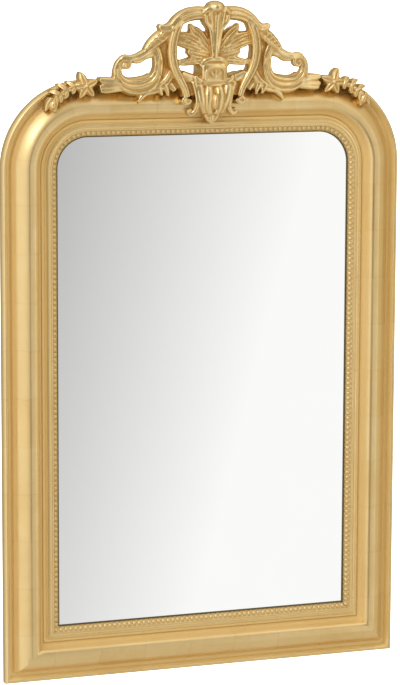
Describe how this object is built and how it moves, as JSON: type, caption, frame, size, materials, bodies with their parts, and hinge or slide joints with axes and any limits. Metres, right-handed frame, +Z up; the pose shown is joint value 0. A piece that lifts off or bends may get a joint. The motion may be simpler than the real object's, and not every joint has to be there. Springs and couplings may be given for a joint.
{
  "type": "wall mirror",
  "caption": "Arched-top wall mirror in a broad gilded moulding with a beaded sight edge, an openwork cast crest and a flower spray at each side.",
  "frame": {"origin": "on the flat back of the top rail, on the centre line, where the mirror bears on the wall it hangs on", "axes": "+Z up, the mirror faces -Y, +Y into the wall, +X to the right of someone looking into the mirror"},
  "size_m": [0.7, 0.0751, 1.1337],
  "materials": {
    "gold_leaf": "gold leaf over bole on a wooden moulding, satin",
    "gold_leaf_crest": "gold leaf on a cast ornament, satin",
    "gold_leaf_spray": "gold leaf on a cast ornament, satin",
    "mirror_glass": "silvered flat glass, polished",
    "backboard_brown": "plain hardboard, matt"
  },
  "bodies": {
    "root": {"frame": "gold_leaf", "mirror_plate": "mirror_glass", "backboard": "backboard_brown", "crest": "gold_leaf_crest", "garland_left": "gold_leaf_spray", "garland_right": "gold_leaf_spray"}
  },
  "joints": []
}
